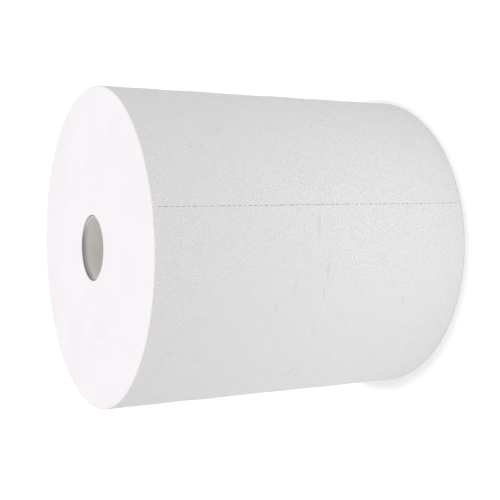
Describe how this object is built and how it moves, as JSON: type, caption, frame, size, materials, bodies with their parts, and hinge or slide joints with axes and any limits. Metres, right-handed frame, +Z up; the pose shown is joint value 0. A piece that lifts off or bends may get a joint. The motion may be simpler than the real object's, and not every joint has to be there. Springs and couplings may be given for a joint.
{
  "type": "paper towel roll",
  "caption": "Wide roll of white embossed paper towel wound on a paperboard tube, with a row of tear-off slits along its outermost turn.",
  "frame": {"origin": "centre of the end that the roll stands on, on the axis of the tube", "axes": "+Z up along the roll's axis, -Y is the front, towards the row of tear-off slits that the picture shows"},
  "size_m": [0.1968, 0.1966, 0.21],
  "materials": {
    "towel_paper": "matte",
    "tube_board": "matte"
  },
  "bodies": {
    "root": {"towel_roll": "towel_paper", "core_tube": "tube_board"}
  },
  "joints": []
}
